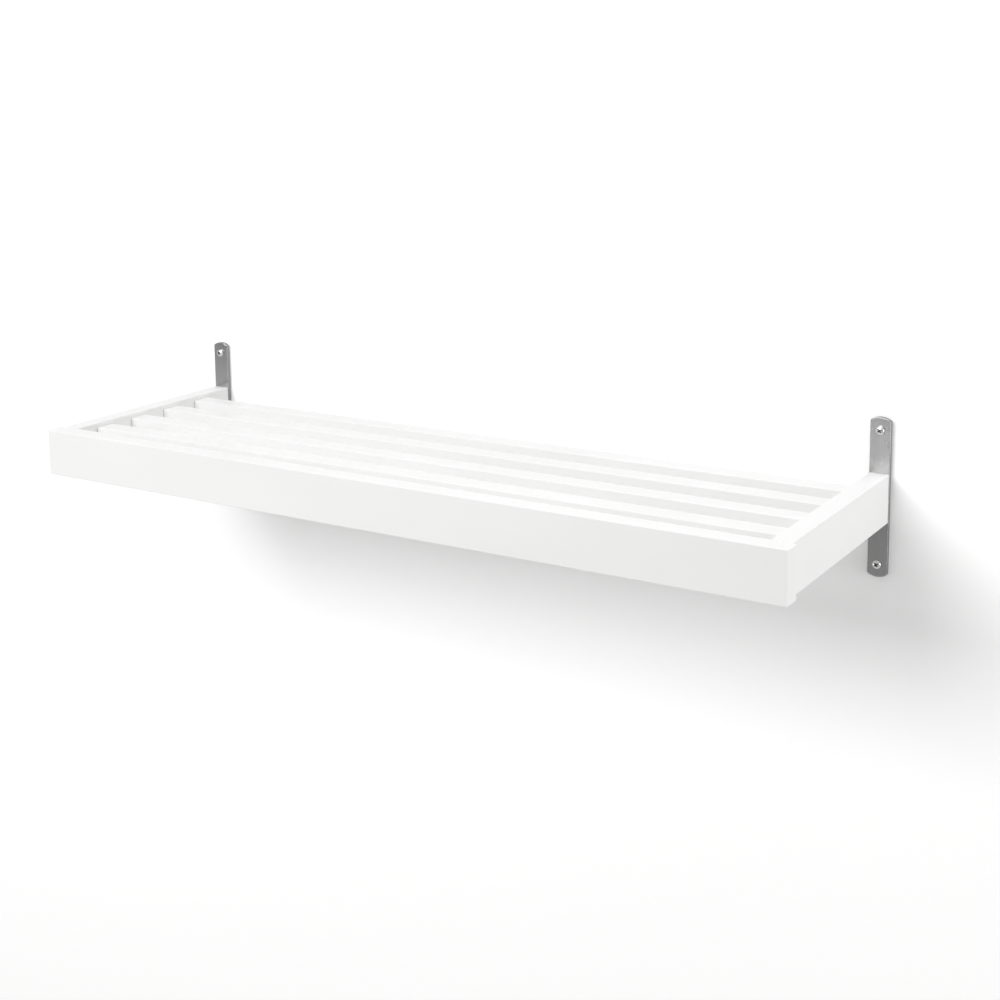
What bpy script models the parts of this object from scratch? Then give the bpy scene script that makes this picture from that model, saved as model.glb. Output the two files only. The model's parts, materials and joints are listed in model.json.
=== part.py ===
"""A wall shoe rack: a white painted wooden frame with slats, carried by two upright steel flat bars.

Metres, +Z up. Someone who faces the wall looks along +Y, with +X to the right. The origin lies on the
wall's surface, midway between the two brackets and at their mid-height.
"""

import math

import bmesh
import bpy
from mathutils import Matrix, Vector

# Frame: the front rail covers the front ends of the side rails and runs past them
FRONT_LENGTH = 0.800
FRONT_HEIGHT = 0.046
FRONT_THICKNESS = 0.019
FRONT_OVERHANG = 0.004
SIDE_HEIGHT = 0.045
SIDE_THICKNESS = 0.018
FRAME_DEPTH = 0.250  # from the front face to the front of the brackets
FRAME_EDGE_RADIUS = 0.0008

# Slats between the side rails, with equal spaces in front of them
SLAT_COUNT = 4
SLAT_WIDTH = 0.0215
SLAT_THICKNESS = 0.018
SLAT_DROP = 0.0045  # how far the slats lie below the top of the frame
SLAT_EDGE_RADIUS = 0.0008
REAR_SPACE = 0.035  # from the last slat to the front of the brackets

# Wall brackets: flat bars on end, with shallow round ends
BRACKET_WIDTH = 0.019
BRACKET_THICKNESS = 0.0048
BRACKET_LENGTH = 0.148
BRACKET_END_RISE = 0.0032
BRACKET_CORNER_RADIUS = 0.0020
BRACKET_EDGE_RADIUS = 0.0012

# Wall screws: domed heads on the front of the brackets
WALL_SCREW_DIAMETER = 0.004
WALL_SCREW_LENGTH = 0.040
WALL_SCREW_HEAD_DIAMETER = 0.008
WALL_SCREW_HEAD_HEIGHT = 0.0027
WALL_SCREW_HEAD_RIM = 0.0008
WALL_SCREW_END_DISTANCE = 0.012  # from the end of the bracket

# Rail screws: countersunk in the back of the brackets, driven into the ends of the side rails
RAIL_SCREW_DIAMETER = 0.0035
RAIL_SCREW_LENGTH = 0.035
RAIL_SCREW_HEAD_DIAMETER = 0.007
RAIL_SCREW_EDGE_DISTANCE = 0.011  # from the top and bottom of the side rail

# Cross recess and point of both kinds of screw
RECESS_SPAN = 0.0042
RECESS_FLOOR_SPAN = 0.0020
RECESS_WIDTH = 0.0010
RECESS_DEPTH = 0.0017
SCREW_POINT_LENGTH = 0.004

# Dowels: one at each end of a slat, two at each end of the front rail
DOWEL_DIAMETER = 0.008
DOWEL_LENGTH = 0.030
DOWEL_CHAMFER = 0.0008
DOWEL_EDGE_DISTANCE = 0.011  # from the top and bottom of the side rail
DOWEL_COVER = 0.006  # wood left between a blind bore and the face behind it

# Fits
FIT_GAP = 0.0003  # between pieces that touch on the real rack
BORE_END_ROOM = 0.001  # between a dowel or a screw point and the end of its bore
CUTTER_OVERRUN = 0.002  # how far a cutter starts outside the face that it cuts

# Fineness of round shapes
ROUND_SIDES = 24
EDGE_STEPS = 3
DOME_STEPS = 6
BAR_END_STEPS = 10
BAR_CORNER_STEPS = 4
SMOOTH_ANGLE = math.radians(35)

# Places, worked out from the sizes
FRONT_FACE_Y = -(BRACKET_THICKNESS + FRAME_DEPTH)
FRONT_BACK_Y = FRONT_FACE_Y + FRONT_THICKNESS
SIDE_FRONT_Y = FRONT_BACK_Y + FIT_GAP
SIDE_REAR_Y = -BRACKET_THICKNESS - FIT_GAP
FRAME_TOP_Z = SIDE_HEIGHT / 2
SIDE_CENTRE_X = FRONT_LENGTH / 2 - FRONT_OVERHANG - SIDE_THICKNESS / 2
SIDE_INNER_X = SIDE_CENTRE_X - SIDE_THICKNESS / 2
SLAT_END_X = SIDE_INNER_X - FIT_GAP
SLAT_Z = FRAME_TOP_Z - SLAT_DROP - SLAT_THICKNESS / 2
SLAT_SPACE = (FRAME_DEPTH - FRONT_THICKNESS - REAR_SPACE) / SLAT_COUNT - SLAT_WIDTH
DOWEL_Z = SIDE_HEIGHT / 2 - DOWEL_EDGE_DISTANCE
RAIL_SCREW_Z = SIDE_HEIGHT / 2 - RAIL_SCREW_EDGE_DISTANCE
WALL_SCREW_Z = BRACKET_LENGTH / 2 - WALL_SCREW_END_DISTANCE

# Bore depths: a dowel stands in a host rail up to its cover, and the rest of it in the guest's end
SIDE_HOST_DEPTH = SIDE_THICKNESS - DOWEL_COVER
FRONT_HOST_DEPTH = FRONT_THICKNESS - DOWEL_COVER
GUEST_DEPTH = DOWEL_LENGTH + 2 * BORE_END_ROOM - FIT_GAP  # less the depth of the host's bore

SIDES = {"left": -1, "right": 1}
LEVELS = {"upper": 1, "lower": -1}


def slat_y(number):
    """Middle of a slat, counted from the front, starting at 1."""
    return FRONT_BACK_Y + number * SLAT_SPACE + (number - 0.5) * SLAT_WIDTH


def finish(name, colour, roughness, metallic=0.0):
    material = bpy.data.materials.new(name)
    material.use_nodes = True
    shader = material.node_tree.nodes["Principled BSDF"]
    shader.inputs["Base Color"].default_value = (*colour, 1.0)
    shader.inputs["Roughness"].default_value = roughness
    shader.inputs["Metallic"].default_value = metallic
    return material


def add_piece(name, shape, material, rack, location=(0, 0, 0), rotation=(0, 0, 0)):
    """Turns a bmesh into a named object of the rack, with its faces out and its round stretches smooth."""
    bmesh.ops.recalc_face_normals(shape, faces=shape.faces)
    mesh = bpy.data.meshes.new(name)
    shape.to_mesh(mesh)
    shape.free()
    mesh.materials.append(material)
    mesh.shade_smooth()
    mesh.set_sharp_from_angle(angle=SMOOTH_ANGLE)
    piece = bpy.data.objects.new(name, mesh)
    piece.location = location
    piece.rotation_euler = rotation
    piece.parent = rack
    bpy.context.scene.collection.objects.link(piece)
    return piece


def cut(piece, shape, location=(0, 0, 0), rotation=(0, 0, 0)):
    """Takes the solids of a bmesh away from a piece. The cutter stays in the scene as a wire guide."""
    name = f"{piece.name}_cutter"
    cutter = add_piece(name, shape, piece.active_material, piece.parent, location, rotation)
    cutter.hide_render = True
    cutter.display_type = "WIRE"
    modifier = piece.modifiers.new("bores", "BOOLEAN")
    modifier.operation = "DIFFERENCE"
    modifier.solver = "EXACT"
    modifier.object = cutter


def bar(size, radius, along=None):
    """A box about its own middle with rounded edges: all of them, or only those that run along one axis."""
    shape = bmesh.new()
    bmesh.ops.create_cube(shape, size=1.0, matrix=Matrix.Diagonal((*size, 1.0)))
    edges = []
    for edge in shape.edges:
        run = edge.verts[1].co - edge.verts[0].co
        if along is None or abs(run[along]) > size[along] / 2:
            edges.append(edge)
    bmesh.ops.bevel(shape, geom=edges, offset=radius, segments=EDGE_STEPS, profile=0.5, affect="EDGES")
    return shape


def add_turned(shape, outline, place):
    """Adds a closed solid turned about Z from (radius, height) points, end to end, and put at a place."""
    rings = []
    for radius, height in outline:
        angles = [math.tau * side / ROUND_SIDES for side in range(ROUND_SIDES if radius else 1)]
        points = [(radius * math.cos(angle), radius * math.sin(angle), height) for angle in angles]
        rings.append([shape.verts.new(place @ Vector(point)) for point in points])
    for ring, following in zip(rings, rings[1:]):
        for side in range(ROUND_SIDES):
            corners = [ring[side % len(ring)], ring[(side + 1) % len(ring)]]
            corners += [following[(side + 1) % len(following)], following[side % len(following)]]
            shape.faces.new(dict.fromkeys(corners))
    for ring in (rings[0], rings[-1]):
        if len(ring) > 1:
            shape.faces.new(ring)


def add_bore(shape, outline, mouth, direction):
    """Adds a round cutter of (radius, depth) points that starts at the mouth of a bore."""
    turn = Vector((0, 0, 1)).rotation_difference(Vector(direction)).to_matrix().to_4x4()
    add_turned(shape, outline, Matrix.Translation(mouth) @ turn)


def straight_bore(diameter, depth):
    """Outline of a bore that takes a round piece of this diameter."""
    radius = diameter / 2 + FIT_GAP
    return [(radius, -CUTTER_OVERRUN), (radius, depth)]


def countersunk_bore():
    """Outline of the bracket's hole for a rail screw, from the back of the bar to past its front."""
    mouth_radius = RAIL_SCREW_HEAD_DIAMETER / 2 + 2 * FIT_GAP
    hole_radius = RAIL_SCREW_DIAMETER / 2 + FIT_GAP
    return [
        (mouth_radius, -CUTTER_OVERRUN),
        (mouth_radius, 0),
        (hole_radius, mouth_radius - hole_radius),
        (hole_radius, BRACKET_THICKNESS + CUTTER_OVERRUN),
    ]


def dowel():
    shape = bmesh.new()
    radius = DOWEL_DIAMETER / 2
    half = DOWEL_LENGTH / 2
    outline = [
        (radius - DOWEL_CHAMFER, -half),
        (radius, DOWEL_CHAMFER - half),
        (radius, half - DOWEL_CHAMFER),
        (radius - DOWEL_CHAMFER, half),
    ]
    add_turned(shape, outline, Matrix())
    return shape


def screw(head_outline, diameter, length):
    """A screw about Z with its shank upwards, from the outline of its head, its shank and its point."""
    shape = bmesh.new()
    shank = [(diameter / 2, length - SCREW_POINT_LENGTH), (0, length)]
    add_turned(shape, head_outline + shank, Matrix())
    return shape


def domed_head():
    """Outline of a wall screw's head, from its crown down to the shank. Height 0 is its seat."""
    radius = WALL_SCREW_HEAD_DIAMETER / 2
    rise = WALL_SCREW_HEAD_HEIGHT - WALL_SCREW_HEAD_RIM
    outline = [(0, -WALL_SCREW_HEAD_HEIGHT)]
    for step in range(1, DOME_STEPS + 1):
        angle = math.pi / 2 * step / DOME_STEPS
        outline.append((radius * math.sin(angle), -WALL_SCREW_HEAD_RIM - rise * math.cos(angle)))
    return outline + [(radius, 0), (WALL_SCREW_DIAMETER / 2, 0)]


def flat_head():
    """Outline of a rail screw's countersunk head. Height 0 is its flat face."""
    radius = RAIL_SCREW_HEAD_DIAMETER / 2
    shank_radius = RAIL_SCREW_DIAMETER / 2
    return [(0, 0), (radius, 0), (shank_radius, radius - shank_radius)]


def cross_recess(face_height):
    """Cutter for the cross in a screw's head: four wings that get shorter towards the floor."""
    shape = bmesh.new()
    wing = RECESS_WIDTH / 2
    slope = (RECESS_SPAN - RECESS_FLOOR_SPAN) / 2 / RECESS_DEPTH
    rims = []
    for depth in (-CUTTER_OVERRUN, RECESS_DEPTH):
        reach = RECESS_SPAN / 2 - slope * depth
        rim = []
        for quarter in range(4):
            turn = Matrix.Rotation(math.pi / 2 * quarter, 3, "Z")
            for x, y in ((wing, wing), (wing, reach), (-wing, reach)):
                rim.append(shape.verts.new(turn @ Vector((x, y, face_height + depth))))
        rims.append(rim)
    for index, corner in enumerate(rims[0]):
        following = (index + 1) % len(rims[0])
        shape.faces.new((corner, rims[0][following], rims[1][following], rims[1][index]))
    for rim in rims:
        shape.faces.new(rim)
    return shape


def arc(centre, radius, start, end, steps):
    """Points of an arc in the XZ plane, without its last one."""
    points = []
    for step in range(steps):
        angle = start + (end - start) * step / steps
        points.append((centre[0] + radius * math.cos(angle), centre[1] + radius * math.sin(angle)))
    return points


def bracket_outline():
    """Outline of a bar on end, in X and Z: its ends are shallow arcs between small round corners."""
    half_width = BRACKET_WIDTH / 2
    end_radius = (half_width**2 + BRACKET_END_RISE**2) / (2 * BRACKET_END_RISE)
    end_z = BRACKET_LENGTH / 2 - end_radius
    corner_x = half_width - BRACKET_CORNER_RADIUS
    corner_rise = math.sqrt((end_radius - BRACKET_CORNER_RADIUS) ** 2 - corner_x**2)
    corner_z = end_z + corner_rise
    tangent = math.atan2(corner_rise, corner_x)
    top = arc((corner_x, corner_z), BRACKET_CORNER_RADIUS, 0, tangent, BAR_CORNER_STEPS)
    top += arc((0, end_z), end_radius, tangent, math.pi - tangent, BAR_END_STEPS)
    top += arc((-corner_x, corner_z), BRACKET_CORNER_RADIUS, math.pi - tangent, math.pi, BAR_CORNER_STEPS)
    top.append((-half_width, corner_z))
    return top + [(-x, -z) for x, z in top]


def bracket():
    shape = bmesh.new()
    outline = bracket_outline()
    front = [shape.verts.new((x, -BRACKET_THICKNESS, z)) for x, z in outline]
    back = [shape.verts.new((x, 0, z)) for x, z in outline]
    faces = [shape.faces.new(front), shape.faces.new(back)]
    for index in range(len(outline)):
        shape.faces.new((front[index - 1], front[index], back[index], back[index - 1]))
    rims = [edge for face in faces for edge in face.edges]
    radius = BRACKET_EDGE_RADIUS
    bmesh.ops.bevel(shape, geom=rims, offset=radius, segments=EDGE_STEPS, profile=0.5, affect="EDGES")
    return shape


def build_front_rail(rack, paint):
    size = (FRONT_LENGTH, FRONT_THICKNESS, FRONT_HEIGHT)
    middle = (0, FRONT_FACE_Y + FRONT_THICKNESS / 2, FRAME_TOP_Z - FRONT_HEIGHT / 2)
    rail = add_piece("front_rail", bar(size, FRAME_EDGE_RADIUS), paint, rack, middle)
    bores = bmesh.new()
    for side in SIDES.values():
        for level in LEVELS.values():
            mouth = (side * SIDE_CENTRE_X, FRONT_BACK_Y, level * DOWEL_Z)
            add_bore(bores, straight_bore(DOWEL_DIAMETER, FRONT_HOST_DEPTH), mouth, (0, -1, 0))
    cut(rail, bores)


def build_side_rail(rack, paint, name, side):
    size = (SIDE_THICKNESS, SIDE_REAR_Y - SIDE_FRONT_Y, SIDE_HEIGHT)
    x = side * SIDE_CENTRE_X
    middle = (x, (SIDE_REAR_Y + SIDE_FRONT_Y) / 2, 0)
    rail = add_piece(f"side_rail_{name}", bar(size, FRAME_EDGE_RADIUS, along=1), paint, rack, middle)
    bores = bmesh.new()
    dowel_bore = straight_bore(DOWEL_DIAMETER, GUEST_DEPTH - FRONT_HOST_DEPTH)
    screw_bore = straight_bore(RAIL_SCREW_DIAMETER, RAIL_SCREW_LENGTH + BORE_END_ROOM + SIDE_REAR_Y)
    for level in LEVELS.values():
        add_bore(bores, dowel_bore, (x, SIDE_FRONT_Y, level * DOWEL_Z), (0, 1, 0))
        add_bore(bores, screw_bore, (x, SIDE_REAR_Y, level * RAIL_SCREW_Z), (0, -1, 0))
    for number in range(1, SLAT_COUNT + 1):
        mouth = (side * SIDE_INNER_X, slat_y(number), SLAT_Z)
        add_bore(bores, straight_bore(DOWEL_DIAMETER, SIDE_HOST_DEPTH), mouth, (side, 0, 0))
    cut(rail, bores)


def build_slat(rack, paint, number):
    size = (2 * SLAT_END_X, SLAT_WIDTH, SLAT_THICKNESS)
    middle = (0, slat_y(number), SLAT_Z)
    slat = add_piece(f"slat_{number}", bar(size, SLAT_EDGE_RADIUS, along=0), paint, rack, middle)
    bores = bmesh.new()
    for side in SIDES.values():
        mouth = (side * SLAT_END_X, slat_y(number), SLAT_Z)
        add_bore(bores, straight_bore(DOWEL_DIAMETER, GUEST_DEPTH - SIDE_HOST_DEPTH), mouth, (-side, 0, 0))
    cut(slat, bores)


def build_dowels(rack, beech):
    along_x = (0, math.pi / 2, 0)
    along_y = (math.pi / 2, 0, 0)
    slat_dowel_x = SIDE_INNER_X + SIDE_HOST_DEPTH - BORE_END_ROOM - DOWEL_LENGTH / 2
    corner_dowel_y = FRONT_BACK_Y - FRONT_HOST_DEPTH + BORE_END_ROOM + DOWEL_LENGTH / 2
    for name, side in SIDES.items():
        for number in range(1, SLAT_COUNT + 1):
            place = (side * slat_dowel_x, slat_y(number), SLAT_Z)
            add_piece(f"slat_dowel_{number}_{name}", dowel(), beech, rack, place, along_x)
        for level_name, level in LEVELS.items():
            place = (side * SIDE_CENTRE_X, corner_dowel_y, level * DOWEL_Z)
            add_piece(f"corner_dowel_{name}_{level_name}", dowel(), beech, rack, place, along_y)


def build_bracket(rack, steel, name, side):
    x = side * SIDE_CENTRE_X
    plate = add_piece(f"wall_bracket_{name}", bracket(), steel, rack, (x, 0, 0))
    bores = bmesh.new()
    through = straight_bore(WALL_SCREW_DIAMETER, BRACKET_THICKNESS + CUTTER_OVERRUN)
    for level in LEVELS.values():
        add_bore(bores, through, (x, -BRACKET_THICKNESS, level * WALL_SCREW_Z), (0, 1, 0))
        add_bore(bores, countersunk_bore(), (x, 0, level * RAIL_SCREW_Z), (0, -1, 0))
    cut(plate, bores)


def build_screws(rack, bright_steel, name, side):
    x = side * SIDE_CENTRE_X
    into_wall = (-math.pi / 2, 0, 0)
    into_rail = (math.pi / 2, 0, 0)
    for level_name, level in LEVELS.items():
        place = (x, -BRACKET_THICKNESS - FIT_GAP, level * WALL_SCREW_Z)
        shape = screw(domed_head(), WALL_SCREW_DIAMETER, WALL_SCREW_LENGTH)
        piece = add_piece(f"wall_screw_{name}_{level_name}", shape, bright_steel, rack, place, into_wall)
        cut(piece, cross_recess(-WALL_SCREW_HEAD_HEIGHT), place, into_wall)
        place = (x, -FIT_GAP, level * RAIL_SCREW_Z)
        shape = screw(flat_head(), RAIL_SCREW_DIAMETER, RAIL_SCREW_LENGTH - FIT_GAP)
        piece = add_piece(f"rail_screw_{name}_{level_name}", shape, bright_steel, rack, place, into_rail)
        cut(piece, cross_recess(0), place, into_rail)


def main():
    for item in list(bpy.data.objects):
        bpy.data.objects.remove(item)
    rack = bpy.data.objects.new("wall_shoe_rack", None)
    bpy.context.scene.collection.objects.link(rack)
    paint = finish("white_paint", (0.86, 0.86, 0.85), roughness=0.42)
    steel = finish("satin_steel", (0.52, 0.52, 0.52), roughness=0.28, metallic=1.0)
    bright_steel = finish("bright_steel", (0.87, 0.87, 0.87), roughness=0.30, metallic=1.0)
    beech = finish("beech", (0.66, 0.48, 0.31), roughness=0.65)
    build_front_rail(rack, paint)
    for name, side in SIDES.items():
        build_side_rail(rack, paint, name, side)
        build_bracket(rack, steel, name, side)
        build_screws(rack, bright_steel, name, side)
    for number in range(1, SLAT_COUNT + 1):
        build_slat(rack, paint, number)
    build_dowels(rack, beech)


main()
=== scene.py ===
"""Looks of the wall shoe rack: a white painted frame on two satin steel bars, screwed to a white wall.

Metres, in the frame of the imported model: +X to the right, +Y into the wall, +Z up.
"""

import json
import math

import bmesh
import bpy
from mathutils import Matrix, Vector

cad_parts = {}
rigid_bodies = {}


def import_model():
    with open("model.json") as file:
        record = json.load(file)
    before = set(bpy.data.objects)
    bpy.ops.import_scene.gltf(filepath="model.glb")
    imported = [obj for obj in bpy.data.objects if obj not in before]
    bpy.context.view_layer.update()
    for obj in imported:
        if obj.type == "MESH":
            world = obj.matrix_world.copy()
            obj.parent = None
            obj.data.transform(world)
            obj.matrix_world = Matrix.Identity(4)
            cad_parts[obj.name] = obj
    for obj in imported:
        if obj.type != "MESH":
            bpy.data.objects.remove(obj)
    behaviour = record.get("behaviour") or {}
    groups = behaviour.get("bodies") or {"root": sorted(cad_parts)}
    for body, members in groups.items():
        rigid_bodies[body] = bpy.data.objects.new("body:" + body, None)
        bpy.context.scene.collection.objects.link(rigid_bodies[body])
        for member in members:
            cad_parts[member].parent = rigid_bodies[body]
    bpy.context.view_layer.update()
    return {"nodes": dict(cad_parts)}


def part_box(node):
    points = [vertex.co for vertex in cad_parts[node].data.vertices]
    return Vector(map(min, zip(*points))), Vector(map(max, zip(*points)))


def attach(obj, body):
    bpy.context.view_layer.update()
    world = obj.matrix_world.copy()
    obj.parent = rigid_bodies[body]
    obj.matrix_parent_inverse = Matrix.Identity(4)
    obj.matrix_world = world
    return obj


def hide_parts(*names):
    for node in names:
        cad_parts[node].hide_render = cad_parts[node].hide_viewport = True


for item in list(bpy.data.objects):
    bpy.data.objects.remove(item)

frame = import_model()

# Nodes of the frame
SIDES = ("left", "right")
LEVELS = ("upper", "lower")
SLAT_NUMBERS = (1, 2, 3, 4)

# Directions and turns
UP = (0, 0, 1)
INTO_WALL = (0, 1, 0)
OFF_WALL = (0, -1, 0)
QUARTER_TURN = math.pi / 2

# Round shapes
ROUND_SIDES = 40
ROUND_PROFILE = 0.5  # bevel profile of a circular arc
SMOOTH_ANGLE = math.radians(35)

# Painted bars
EDGE_RADIUS = 0.0008
EDGE_STEPS = 6

# Steel bars
BRACKET_END_RISE = 0.0032
BRACKET_CORNER_RADIUS = 0.0020
BRACKET_EDGE_RADIUS = 0.0008
BRACKET_END_STEPS = 28
BRACKET_CORNER_STEPS = 10
BRACKET_EDGE_STEPS = 6

# Screws
WALL_SHANK_DIAMETER = 0.0040
WALL_HEAD_HEIGHT = 0.0027
WALL_HEAD_RIM = 0.0008
WALL_THREAD_PITCH = 0.0018
RAIL_SHANK_DIAMETER = 0.0035
RAIL_THREAD_PITCH = 0.0015
PLAIN_SHANK_LENGTH = 0.006  # below the head, before the thread starts
SCREW_POINT_LENGTH = 0.006
THREAD_CORE_SHARE = 0.68  # core diameter of the thread, as a share of its outer diameter
THREAD_CREST = 0.5  # where the crest of the ridge lies, as a share of the pitch
THREAD_FLANK = 0.3  # from the crest to the foot of the ridge, as a share of the pitch
THREAD_ROWS = 10  # rings for one turn of the thread
RECESS_SPAN = 0.0046
RECESS_FLOOR_SPAN = 0.0022
RECESS_WIDTH = 0.0013
RECESS_DEPTH = 0.0022
RECESS_TURN = math.radians(52)
DOME_STEPS = 14

# Fits
FIT_GAP = 0.0003
SINK_GAP = 2 * FIT_GAP  # round the head of a countersunk screw
BORE_END_ROOM = 0.001
CUTTER_OVERRUN = 0.002

# Patterns: the stretch of a cloud that is spread over a range, and how fine clouds are
CLOUD_LOW = 0.3
CLOUD_HIGH = 0.7
SOFT_DETAIL = 2.0
LINE_DETAIL = 3.0
GRAIN_DETAIL = 4.0

# Paint, with patterns in clouds per metre along X, Y and Z
PAINT_DARK = (0.845, 0.845, 0.840)
PAINT_LIGHT = (0.870, 0.870, 0.866)
PAINT_ROUGHNESS = (0.36, 0.48)
PAINT_CLOUDS = (9, 14, 14)
PAINT_GRAIN = (22, 620, 620)
PAINT_GRAIN_DEPTH = 0.00002
PAINT_PEEL = (420, 420, 420)
PAINT_PEEL_DEPTH = 0.00001

# Steel of the bars
BAR_FACE_DARK = (0.47, 0.47, 0.47)
BAR_FACE_LIGHT = (0.52, 0.52, 0.52)
# Darker sides and rims of the bars: sheared edges, and painted shade for their dark reflections
BAR_EDGE_SHADE_DARK = (0.25, 0.25, 0.25)
BAR_EDGE_SHADE_LIGHT = (0.31, 0.31, 0.31)
BAR_EDGE_SHADE_END = 0.40  # size of the normal's Y up to which the steel is coloured as an edge
BAR_FACE_START = 0.95  # size of the normal's Y from which it is coloured as a face
BAR_ROUGHNESS = (0.26, 0.30)
BAR_ANISOTROPY = 0.4
BAR_LINES = (2600, 2600, 24)
BAR_LINE_DEPTH = 0.000002
BAR_SMUDGES = (70, 70, 34)

# Steel of the screws
SCREW_DARK = (0.84, 0.84, 0.84)
SCREW_LIGHT = (0.90, 0.90, 0.90)
SCREW_ROUGHNESS = (0.26, 0.36)
SCREW_CLOUDS = (260, 260, 260)
SCREW_GRAIN = (1500, 1500, 1500)
SCREW_GRAIN_DEPTH = 0.000004
# Painted shade: the dark steel that lines the cross recess of a screw head
RECESS_SHADE_DARK = (0.16, 0.16, 0.16)
RECESS_SHADE_LIGHT = (0.24, 0.24, 0.24)
RECESS_ROUGHNESS = (0.42, 0.55)
RECESS_CLOUDS = (900, 900, 900)

# Beech of the dowels
BEECH_DARK = (0.52, 0.35, 0.21)
BEECH_LIGHT = (0.70, 0.52, 0.34)
BEECH_ROUGHNESS = (0.55, 0.75)
BEECH_FLECKS = (420, 420, 420)
BEECH_FLECK_DEPTH = 0.00004

# Camera: place and direction worked out from the edges of the frame in the photograph
CAMERA_PLACE = (0.8375, -1.3735, 0.4014)
CAMERA_YAW = math.radians(31.79)
CAMERA_PITCH = math.radians(-8.85)
CAMERA_ROLL = math.radians(0.594)
CAMERA_LENS = 57.96
CAMERA_SENSOR = 36.0
CAMERA_SHIFT_Y = -0.20

# Stage
WALL_SIZE = 8.0
WALL_GAP = 0.0005
WALL_COLOUR = (0.98, 0.98, 0.98)
WALL_GLOW = 0.10  # lifts the lit wall to white and leaves its shadow
FLOOR_Z = -1.20
FLOOR_SIZE = 14.0
FLOOR_COLOUR = (0.55, 0.55, 0.545)
STAGE_ROUGHNESS = 0.9
STAGE_SPECULAR = 0.1

# Light, with the lamps' powers in watts
WHITE = (1.0, 1.0, 1.0, 1.0)
WORLD_STRENGTH = 0.405
KEY_PLACE = (-0.70, -2.48, 1.36)
KEY_SIZE = (1.72, 1.03)
KEY_POWER = 51.7
TOP_PLACE = (0.60, 0.30, 1.70)
TOP_SIZE = (2.0, 1.2)
TOP_POWER = 16.6
SIDE_PLACE = (2.2, -0.2, 0.0)
SIDE_SIZE = (1.0, 1.0)
SIDE_POWER = 17.4
LEFT_PLACE = (-1.6, -1.3, -0.70)
LEFT_SIZE = (1.2, 0.45)
LEFT_POWER = 3.6
BACK_PLACE = (0.0, 2.2, -0.5)
BACK_SIZE = (1.5, 1.0)
BACK_POWER = 4.8
LIGHT_TARGET = (0.0, -0.13, 0.0)


# Parts of materials

def new_material(name):
    """A node material. Returns it with its node tree and its shader."""
    material = bpy.data.materials.new(name)
    material.use_nodes = True
    tree = material.node_tree
    return material, tree, tree.nodes["Principled BSDF"]


def piece_place(tree):
    """Coordinates on a piece, moved by an amount of its own so that no two pieces show the same pattern."""
    place = tree.nodes.new("ShaderNodeTexCoord")
    info = tree.nodes.new("ShaderNodeObjectInfo")
    moved = tree.nodes.new("ShaderNodeVectorMath")
    moved.operation = "ADD"
    tree.links.new(place.outputs["Object"], moved.inputs[0])
    tree.links.new(info.outputs["Random"], moved.inputs[1])
    return moved.outputs["Vector"]


def noise(tree, place, scale, detail):
    """A cloud of 0 to 1 with a scale for each axis, in clouds per metre."""
    mapping = tree.nodes.new("ShaderNodeMapping")
    mapping.inputs["Scale"].default_value = scale
    cloud = tree.nodes.new("ShaderNodeTexNoise")
    cloud.inputs["Scale"].default_value = 1.0
    cloud.inputs["Detail"].default_value = detail
    tree.links.new(place, mapping.inputs["Vector"])
    tree.links.new(mapping.outputs["Vector"], cloud.inputs["Vector"])
    return cloud.outputs["Fac"]


def ramp(tree, value, start, end, low, high):
    """A low value up to a start, a high one from an end on, and a straight rise between them."""
    rise = tree.nodes.new("ShaderNodeMapRange")
    rise.inputs["From Min"].default_value = start
    rise.inputs["From Max"].default_value = end
    rise.inputs["To Min"].default_value = low
    rise.inputs["To Max"].default_value = high
    tree.links.new(value, rise.inputs["Value"])
    return rise.outputs["Result"]


def spread(tree, cloud, low, high):
    """Turns the middle stretch of a cloud into a range of values."""
    return ramp(tree, cloud, CLOUD_LOW, CLOUD_HIGH, low, high)


def colour_mix(tree, factor):
    """A node that goes from its colour A to its colour B with a factor."""
    mix = tree.nodes.new("ShaderNodeMix")
    mix.data_type = "RGBA"
    tree.links.new(factor, mix.inputs["Factor"])
    return mix


def colours(tree, cloud, dark, light):
    """A colour that a cloud takes from a dark one to a light one."""
    mix = colour_mix(tree, spread(tree, cloud, 0.0, 1.0))
    mix.inputs["A"].default_value = (*dark, 1.0)
    mix.inputs["B"].default_value = (*light, 1.0)
    return mix.outputs["Result"]


def relief(tree, value, depth, under=None):
    """Bump of a depth in metres, on top of another one."""
    bump = tree.nodes.new("ShaderNodeBump")
    bump.inputs["Distance"].default_value = depth
    tree.links.new(value, bump.inputs["Height"])
    if under is not None:
        tree.links.new(under, bump.inputs["Normal"])
    return bump.outputs["Normal"]


def unshaded_face_share(tree):
    """1 on the broad faces of a bar, which lie along its X and Z, and 0 on its edges, whose darker colour
    is partly painted shade.
    """
    place = tree.nodes.new("ShaderNodeTexCoord")
    split = tree.nodes.new("ShaderNodeSeparateXYZ")
    size = tree.nodes.new("ShaderNodeMath")
    size.operation = "ABSOLUTE"
    tree.links.new(place.outputs["Normal"], split.inputs["Vector"])
    tree.links.new(split.outputs["Y"], size.inputs[0])
    return ramp(tree, size.outputs["Value"], BAR_EDGE_SHADE_END, BAR_FACE_START, 0.0, 1.0)


def dress(tree, shader, colour, roughness, normal=None):
    """Links a shader to its colour, its roughness and its relief."""
    tree.links.new(colour, shader.inputs["Base Color"])
    tree.links.new(roughness, shader.inputs["Roughness"])
    if normal is not None:
        tree.links.new(normal, shader.inputs["Normal"])


# Materials

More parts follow.
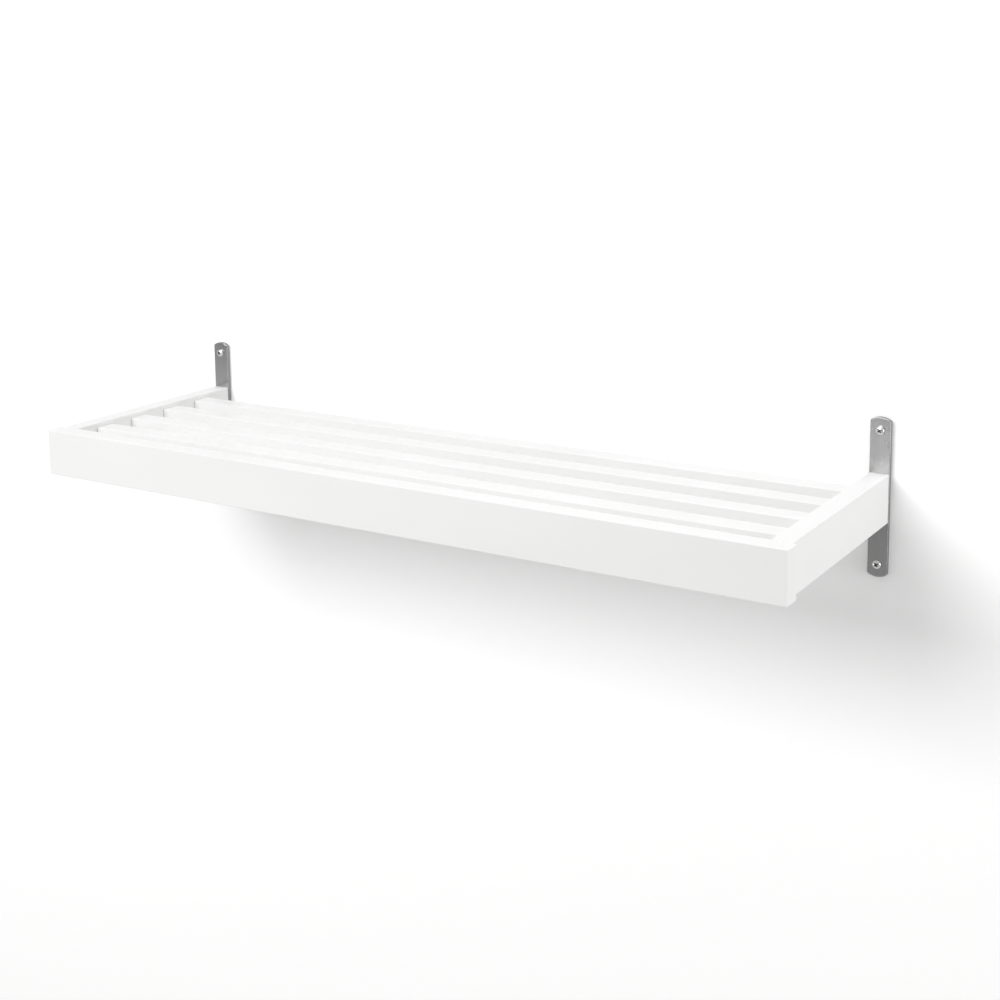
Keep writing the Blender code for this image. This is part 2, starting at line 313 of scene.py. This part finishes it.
def paint_material():
    """Satin white lacquer, with the faint grain of the wood below it along the bar."""
    material, tree, shader = new_material("white_satin_paint")
    place = piece_place(tree)
    clouds = noise(tree, place, PAINT_CLOUDS, SOFT_DETAIL)
    grain = noise(tree, place, PAINT_GRAIN, GRAIN_DETAIL)
    peel = noise(tree, place, PAINT_PEEL, SOFT_DETAIL)
    colour = colours(tree, clouds, PAINT_DARK, PAINT_LIGHT)
    grain_relief = relief(tree, grain, PAINT_GRAIN_DEPTH)
    whole_relief = relief(tree, peel, PAINT_PEEL_DEPTH, grain_relief)
    dress(tree, shader, colour, spread(tree, grain, *PAINT_ROUGHNESS), whole_relief)
    return material


def bar_steel_material():
    """Satin steel, ground along the bar, with a few soft smudges and with darker sheared edges, whose
    darker colour also paints in the shade of their dark reflections.
    """
    material, tree, shader = new_material("ground_satin_steel")
    place = piece_place(tree)
    lines = noise(tree, place, BAR_LINES, LINE_DETAIL)
    smudges = noise(tree, place, BAR_SMUDGES, SOFT_DETAIL)
    # Painted shade, with the sheared edges: a darker steel on the sides and rims than on the faces
    whole = colour_mix(tree, unshaded_face_share(tree))
    tree.links.new(colours(tree, lines, BAR_EDGE_SHADE_DARK, BAR_EDGE_SHADE_LIGHT), whole.inputs["A"])
    tree.links.new(colours(tree, lines, BAR_FACE_DARK, BAR_FACE_LIGHT), whole.inputs["B"])
    roughness = spread(tree, smudges, *BAR_ROUGHNESS)
    dress(tree, shader, whole.outputs["Result"], roughness, relief(tree, lines, BAR_LINE_DEPTH))
    shader.inputs["Metallic"].default_value = 1.0
    shader.inputs["Anisotropic"].default_value = BAR_ANISOTROPY
    return material


def screw_steel_material():
    """Bright plated steel with a fine satin grain."""
    material, tree, shader = new_material("bright_plated_steel")
    place = piece_place(tree)
    grain = noise(tree, place, SCREW_GRAIN, LINE_DETAIL)
    clouds = noise(tree, place, SCREW_CLOUDS, SOFT_DETAIL)
    colour = colours(tree, clouds, SCREW_DARK, SCREW_LIGHT)
    roughness = spread(tree, grain, *SCREW_ROUGHNESS)
    dress(tree, shader, colour, roughness, relief(tree, grain, SCREW_GRAIN_DEPTH))
    shader.inputs["Metallic"].default_value = 1.0
    return material


def recess_shade_material():
    """The same steel made dark in a screw's recess, as painted shade for the shade that falls in it."""
    material, tree, shader = new_material("painted_shade_recess_steel")
    clouds = noise(tree, piece_place(tree), RECESS_CLOUDS, SOFT_DETAIL)
    colour = colours(tree, clouds, RECESS_SHADE_DARK, RECESS_SHADE_LIGHT)
    dress(tree, shader, colour, spread(tree, clouds, *RECESS_ROUGHNESS))
    shader.inputs["Metallic"].default_value = 1.0
    return material


def beech_material():
    """Bare beech with short dark flecks."""
    material, tree, shader = new_material("bare_beech")
    flecks = noise(tree, piece_place(tree), BEECH_FLECKS, GRAIN_DETAIL)
    colour = colours(tree, flecks, BEECH_DARK, BEECH_LIGHT)
    roughness = spread(tree, flecks, *BEECH_ROUGHNESS)
    dress(tree, shader, colour, roughness, relief(tree, flecks, BEECH_FLECK_DEPTH))
    return material


# Shapes

def add_object(name, shape, materials, place=Matrix()):
    """Turns a bmesh into an object of the scene, in the first of its materials."""
    bmesh.ops.recalc_face_normals(shape, faces=shape.faces)
    mesh = bpy.data.meshes.new(name)
    shape.to_mesh(mesh)
    shape.free()
    for material in materials:
        mesh.materials.append(material)
    made = bpy.data.objects.new(name, mesh)
    made.matrix_world = place
    bpy.context.scene.collection.objects.link(made)
    return made


def cut(piece, shape, lining):
    """Takes the solids of a bmesh away from a piece. The lining, one of its materials, shows in the cut."""
    cutter = add_object("cutter", shape, [lining])
    modifier = piece.modifiers.new("bores", "BOOLEAN")
    modifier.operation = "DIFFERENCE"
    modifier.solver = "EXACT"
    modifier.object = cutter
    seen = piece.evaluated_get(bpy.context.evaluated_depsgraph_get())
    piece.data = bpy.data.meshes.new_from_object(seen)
    piece.modifiers.clear()
    bpy.data.objects.remove(cutter)


def add_piece(piece, node):
    """Shows a finished shape in place of a node of the frame."""
    piece.data.shade_smooth()
    piece.data.set_sharp_from_angle(angle=SMOOTH_ANGLE)
    piece.modifiers.new("flat_faces", "WEIGHTED_NORMAL").keep_sharp = True
    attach(piece, "root")
    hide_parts(node)


def round_edges(shape, edges, radius, steps):
    """Rounds edges of a bmesh, whose faces need their normals for it."""
    bmesh.ops.bevel(shape, geom=edges, offset=radius, segments=steps, profile=ROUND_PROFILE, affect="EDGES")


def add_turned(shape, rings, place):
    """Adds a closed solid about the Z of a place. Each ring lists a radius and a height by side."""
    rows = []
    for ring in rings:
        row = []
        for side, (radius, height) in enumerate(ring):
            angle = math.tau * side / len(ring)
            point = Vector((radius * math.cos(angle), radius * math.sin(angle), height))
            row.append(shape.verts.new(place @ point))
        rows.append(row)
    for row, following in zip(rows, rows[1:]):
        for side in range(ROUND_SIDES):
            corners = [row[side % len(row)], row[(side + 1) % len(row)]]
            corners += [following[(side + 1) % len(following)], following[side % len(following)]]
            shape.faces.new(dict.fromkeys(corners))  # a ring of one point gives three corners
    for row in (rows[0], rows[-1]):
        if len(row) > 1:
            shape.faces.new(row)


def turned_rings(outline):
    """Rings of a round solid from (radius, height) points. A radius of 0 is a single point."""
    return [[(radius, height)] * (ROUND_SIDES if radius else 1) for radius, height in outline]


def along(direction, origin):
    """Place of a shape about Z that then runs in a direction from an origin."""
    turn = Vector(UP).rotation_difference(Vector(direction)).to_matrix().to_4x4()
    return Matrix.Translation(origin) @ turn


def on_axis(low, high, depth):
    """Point at a depth along Y on the axis of a screw, from the corners of its box."""
    return (low.x + high.x) / 2, depth, (low.z + high.z) / 2


# Painted bars

def dowel_bore(shape, node):
    """Adds the bore that a dowel of the frame needs in both of the pieces that it joins."""
    low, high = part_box(node)
    size = high - low
    axis = max(range(3), key=lambda index: size[index])
    direction = Vector([float(index == axis) for index in range(3)])
    radius = min(size) / 2 + FIT_GAP
    half = size[axis] / 2 + BORE_END_ROOM
    add_turned(shape, turned_rings([(radius, -half), (radius, half)]), along(direction, (low + high) / 2))


def rail_screw_bore(shape, node):
    """Adds the bore that a rail screw of the frame needs in its side rail."""
    low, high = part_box(node)
    radius = RAIL_SHANK_DIAMETER / 2 + FIT_GAP
    bore = [(radius, 0), (radius, high.y - low.y + BORE_END_ROOM)]
    add_turned(shape, turned_rings(bore), along(OFF_WALL, on_axis(low, high, high.y)))


def rounded_bar(size, round_ends):
    """A box about its own middle, with its long edges rounded, and its end edges too if asked."""
    shape = bmesh.new()
    bmesh.ops.create_cube(shape, size=1.0, matrix=Matrix.Diagonal((*size, 1.0)))
    edges = []
    for edge in shape.edges:
        run = edge.verts[1].co - edge.verts[0].co
        if round_ends or abs(run.x) > size[0] / 2:
            edges.append(edge)
    round_edges(shape, edges, EDGE_RADIUS, EDGE_STEPS)
    return shape


def painted_bar(node, dowels, paint, screws=(), turned=False, round_ends=False):
    """A rail or slat, along its own X, with the bores for its dowels and rail screws."""
    low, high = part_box(node)
    size = high - low
    place = Matrix.Translation((low + high) / 2)
    if turned:
        size = Vector((size.y, size.x, size.z))
        place = place @ Matrix.Rotation(QUARTER_TURN, 4, "Z")
    bar = add_object(f"{node}_painted", rounded_bar(size, round_ends), [paint], place)
    bores = bmesh.new()
    for dowel in dowels:
        dowel_bore(bores, dowel)
    for screw in screws:
        rail_screw_bore(bores, screw)
    cut(bar, bores, paint)
    add_piece(bar, node)


# Steel bars

def arc(centre, radius, start, end, steps):
    """Points of an arc in the XZ plane, without its last one."""
    points = []
    for step in range(steps):
        angle = start + (end - start) * step / steps
        points.append((centre[0] + radius * math.cos(angle), centre[1] + radius * math.sin(angle)))
    return points


def bracket_outline(width, length):
    """Outline of a bar on end, in X and Z: its ends are shallow arcs between small round corners."""
    half_width = width / 2
    corner_radius = BRACKET_CORNER_RADIUS
    end_radius = (half_width**2 + BRACKET_END_RISE**2) / (2 * BRACKET_END_RISE)
    end_z = length / 2 - end_radius
    corner_x = half_width - corner_radius
    corner_rise = math.sqrt((end_radius - corner_radius) ** 2 - corner_x**2)
    corner_z = end_z + corner_rise
    tangent = math.atan2(corner_rise, corner_x)
    far_tangent = math.pi - tangent
    top = arc((corner_x, corner_z), corner_radius, 0, tangent, BRACKET_CORNER_STEPS)
    top += arc((0, end_z), end_radius, tangent, far_tangent, BRACKET_END_STEPS)
    top += arc((-corner_x, corner_z), corner_radius, far_tangent, math.pi, BRACKET_CORNER_STEPS)
    top.append((-half_width, corner_z))
    return top + [(-x, -z) for x, z in top]


def bracket_plate(size):
    """A flat bar about its own middle with rounded rims."""
    shape = bmesh.new()
    outline = bracket_outline(size.x, size.z)
    front = [shape.verts.new((x, -size.y / 2, z)) for x, z in outline]
    back = [shape.verts.new((x, size.y / 2, z)) for x, z in outline]
    faces = [shape.faces.new(reversed(front)), shape.faces.new(back)]
    for index in range(len(outline)):
        shape.faces.new((front[index - 1], front[index], back[index], back[index - 1]))
    shape.normal_update()
    rims = [edge for face in faces for edge in face.edges]
    round_edges(shape, rims, BRACKET_EDGE_RADIUS, BRACKET_EDGE_STEPS)
    return shape


def wall_screw_hole(shape, node, front, thickness):
    """Adds the plain hole that a wall screw of the frame needs in its bracket."""
    low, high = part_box(node)
    radius = WALL_SHANK_DIAMETER / 2 + FIT_GAP
    hole = [(radius, -CUTTER_OVERRUN), (radius, thickness + CUTTER_OVERRUN)]
    add_turned(shape, turned_rings(hole), along(INTO_WALL, on_axis(low, high, front)))


def rail_screw_hole(shape, node, back, thickness):
    """Adds the countersunk hole that a rail screw of the frame needs in its bracket."""
    low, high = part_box(node)
    sink_radius = (high.x - low.x) / 2 + SINK_GAP
    neck_radius = RAIL_SHANK_DIAMETER / 2 + FIT_GAP
    hole = [
        (sink_radius, -CUTTER_OVERRUN),
        (sink_radius, FIT_GAP),
        (neck_radius, FIT_GAP + sink_radius - neck_radius),
        (neck_radius, thickness + CUTTER_OVERRUN),
    ]
    add_turned(shape, turned_rings(hole), along(OFF_WALL, on_axis(low, high, back)))


def steel_bar(side, steel):
    """A wall bracket, with plain holes for its wall screws and countersunk ones for its rail screws."""
    node = f"wall_bracket_{side}"
    low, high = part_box(node)
    place = Matrix.Translation((low + high) / 2)
    plate = add_object(f"{node}_ground", bracket_plate(high - low), [steel], place)
    thickness = high.y - low.y
    bores = bmesh.new()
    for level in LEVELS:
        wall_screw_hole(bores, f"wall_screw_{side}_{level}", low.y, thickness)
        rail_screw_hole(bores, f"rail_screw_{side}_{level}", high.y, thickness)
    cut(plate, bores, steel)
    add_piece(plate, node)


# Screws

def thread_rings(start, end, radius, pitch):
    """Rings of a threaded shank: the ridge winds round a core, and both shrink to a point at the end."""
    rows = round((end - start) / pitch * THREAD_ROWS)
    rings = []
    for row in range(1, rows):
        height = start + (end - start) * row / rows
        taper = min(1.0, (end - height) / SCREW_POINT_LENGTH)
        ring = []
        for side in range(ROUND_SIDES):
            phase = (height / pitch - side / ROUND_SIDES) % 1.0
            ridge = max(0.0, 1.0 - abs(phase - THREAD_CREST) / THREAD_FLANK)
            share = THREAD_CORE_SHARE + (1.0 - THREAD_CORE_SHARE) * ridge
            ring.append((radius * share * taper, height))
        rings.append(ring)
    return rings + [[(0.0, end)]]


def cross_recess(face_height, place):
    """Cutter for the cross in a screw's head: four wings that get shorter towards the floor."""
    shape = bmesh.new()
    half = RECESS_WIDTH / 2
    slope = (RECESS_SPAN - RECESS_FLOOR_SPAN) / 2 / RECESS_DEPTH
    rims = []
    for depth in (-CUTTER_OVERRUN, RECESS_DEPTH):
        reach = RECESS_SPAN / 2 - slope * depth
        rim = []
        for quarter in range(4):
            turn = Matrix.Rotation(RECESS_TURN + QUARTER_TURN * quarter, 3, "Z")
            for x, y in ((half, half), (half, reach), (-half, reach)):
                rim.append(shape.verts.new(place @ (turn @ Vector((x, y, face_height + depth)))))
        rims.append(rim)
    for index, corner in enumerate(rims[0]):
        following = (index + 1) % len(rims[0])
        shape.faces.new((corner, rims[0][following], rims[1][following], rims[1][index]))
    for rim in rims:
        shape.faces.new(rim)
    return shape


def domed_head(diameter):
    """Outline of a wall screw's head, from its crown down to its seat at height 0."""
    radius = diameter / 2
    rise = WALL_HEAD_HEIGHT - WALL_HEAD_RIM
    outline = [(0, -WALL_HEAD_HEIGHT)]
    for step in range(1, DOME_STEPS + 1):
        angle = QUARTER_TURN * step / DOME_STEPS
        outline.append((radius * math.sin(angle), -WALL_HEAD_RIM - rise * math.cos(angle)))
    return outline + [(radius, 0)]


def add_screw(node, outline, end, pitch, place, metals):
    """Shows a screw: a head and shank with an outline, then a thread, and a cross cut into the crown."""
    steel, recess_shade_steel = metals
    crown = outline[0][1]
    radius, thread_start = outline[-1]
    shape = bmesh.new()
    add_turned(shape, turned_rings(outline) + thread_rings(thread_start, end, radius, pitch), place)
    screw = add_object(f"{node}_threaded", shape, [steel, recess_shade_steel])
    # The cross is lined with the dark steel of painted shade.
    cut(screw, cross_recess(crown, place), recess_shade_steel)
    add_piece(screw, node)


def wall_screw(node, metals):
    """A domed screw that runs into the wall."""
    low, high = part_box(node)
    seat_y = low.y + WALL_HEAD_HEIGHT
    radius = WALL_SHANK_DIAMETER / 2
    outline = domed_head(high.x - low.x) + [(radius, 0), (radius, PLAIN_SHANK_LENGTH)]
    place = along(INTO_WALL, on_axis(low, high, seat_y))
    add_screw(node, outline, high.y - seat_y, WALL_THREAD_PITCH, place, metals)


def rail_screw(node, metals):
    """A countersunk screw that runs from the back of a bracket into a side rail."""
    low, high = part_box(node)
    head_radius = (high.x - low.x) / 2
    radius = RAIL_SHANK_DIAMETER / 2
    outline = [(0, 0), (head_radius, 0), (radius, head_radius - radius), (radius, PLAIN_SHANK_LENGTH)]
    place = along(OFF_WALL, on_axis(low, high, high.y))
    add_screw(node, outline, high.y - low.y, RAIL_THREAD_PITCH, place, metals)


# The rack

def build_frame(paint):
    """The front rail, the side rails and the slats."""
    corner_dowels = {side: [f"corner_dowel_{side}_{level}" for level in LEVELS] for side in SIDES}
    painted_bar("front_rail", corner_dowels["left"] + corner_dowels["right"], paint, round_ends=True)
    for side in SIDES:
        dowels = corner_dowels[side] + [f"slat_dowel_{number}_{side}" for number in SLAT_NUMBERS]
        screws = [f"rail_screw_{side}_{level}" for level in LEVELS]
        painted_bar(f"side_rail_{side}", dowels, paint, screws, turned=True)
    for number in SLAT_NUMBERS:
        painted_bar(f"slat_{number}", [f"slat_dowel_{number}_{side}" for side in SIDES], paint)


def build_hardware(bar_steel, screw_metals):
    """The wall brackets with their screws."""
    for side in SIDES:
        steel_bar(side, bar_steel)
        for level in LEVELS:
            wall_screw(f"wall_screw_{side}_{level}", screw_metals)
            rail_screw(f"rail_screw_{side}_{level}", screw_metals)


def finish_dowels(beech):
    """The dowels keep their solids and get a material."""
    for name, node in frame["nodes"].items():
        if "dowel" in name:
            node.material_slots[0].material = beech


# Stage, light and camera

def one_sided_material(name, colour, glow):
    """A matt surface that is seen only from its front."""
    material, tree, shader = new_material(name)
    shader.inputs["Base Color"].default_value = (*colour, 1.0)
    shader.inputs["Roughness"].default_value = STAGE_ROUGHNESS
    shader.inputs["Specular IOR Level"].default_value = STAGE_SPECULAR
    shader.inputs["Emission Color"].default_value = WHITE
    shader.inputs["Emission Strength"].default_value = glow
    clear = tree.nodes.new("ShaderNodeBsdfTransparent")
    geometry = tree.nodes.new("ShaderNodeNewGeometry")
    choice = tree.nodes.new("ShaderNodeMixShader")
    tree.links.new(geometry.outputs["Backfacing"], choice.inputs["Fac"])
    tree.links.new(shader.outputs["BSDF"], choice.inputs[1])
    tree.links.new(clear.outputs["BSDF"], choice.inputs[2])
    tree.links.new(choice.outputs["Shader"], tree.nodes["Material Output"].inputs["Surface"])
    return material


def add_sheet(name, size, place, material):
    """A flat sheet of the stage that faces along its own +Z."""
    shape = bmesh.new()
    bmesh.ops.create_grid(shape, x_segments=1, y_segments=1, size=size / 2)
    sheet = bpy.data.objects.new(name, bpy.data.meshes.new(name))
    shape.to_mesh(sheet.data)
    shape.free()
    sheet.data.materials.append(material)
    sheet.matrix_world = place
    bpy.context.scene.collection.objects.link(sheet)
    return sheet


def build_stage():
    """A white wall behind the rack and a pale floor below it."""
    white = one_sided_material("white_wall", WALL_COLOUR, WALL_GLOW)
    wall = add_sheet("wall", WALL_SIZE, along(OFF_WALL, (0, WALL_GAP, 0)), white)
    wall.visible_diffuse = False
    wall.visible_shadow = False
    pale = one_sided_material("pale_floor", FLOOR_COLOUR, 0.0)
    add_sheet("floor", FLOOR_SIZE, along(UP, (0, 0, FLOOR_Z)), pale)


def add_lamp(name, place, size, power):
    """A soft lamp that shines at the rack and isn't seen itself."""
    lamp = bpy.data.lights.new(name, "AREA")
    lamp.shape = "RECTANGLE"
    lamp.size, lamp.size_y = size
    lamp.energy = power
    holder = bpy.data.objects.new(name, lamp)
    holder.location = place
    holder.rotation_euler = (Vector(LIGHT_TARGET) - Vector(place)).to_track_quat("-Z", "Y").to_euler()
    holder.visible_camera = False
    bpy.context.scene.collection.objects.link(holder)


def build_light():
    """An even white world and the lamps."""
    world = bpy.data.worlds.new("studio")
    world.use_nodes = True
    background = world.node_tree.nodes["Background"]
    background.inputs["Color"].default_value = WHITE
    background.inputs["Strength"].default_value = WORLD_STRENGTH
    bpy.context.scene.world = world
    add_lamp("key_light", KEY_PLACE, KEY_SIZE, KEY_POWER)
    add_lamp("top_light", TOP_PLACE, TOP_SIZE, TOP_POWER)
    add_lamp("side_light", SIDE_PLACE, SIDE_SIZE, SIDE_POWER)
    add_lamp("left_light", LEFT_PLACE, LEFT_SIZE, LEFT_POWER)
    add_lamp("back_light", BACK_PLACE, BACK_SIZE, BACK_POWER)


def build_camera():
    """The camera of the photograph."""
    lens = bpy.data.cameras.new("camera")
    lens.lens = CAMERA_LENS
    lens.sensor_width = CAMERA_SENSOR
    lens.shift_y = CAMERA_SHIFT_Y
    camera = bpy.data.objects.new("camera", lens)
    turn = Matrix.Rotation(CAMERA_YAW, 4, "Z") @ Matrix.Rotation(QUARTER_TURN + CAMERA_PITCH, 4, "X")
    camera.matrix_world = Matrix.Translation(CAMERA_PLACE) @ turn @ Matrix.Rotation(-CAMERA_ROLL, 4, "Z")
    bpy.context.scene.collection.objects.link(camera)
    bpy.context.scene.camera = camera


build_frame(paint_material())
build_hardware(bar_steel_material(), (screw_steel_material(), recess_shade_material()))
finish_dowels(beech_material())
build_stage()
build_light()
build_camera()
bpy.context.scene.view_settings.view_transform = "Standard"
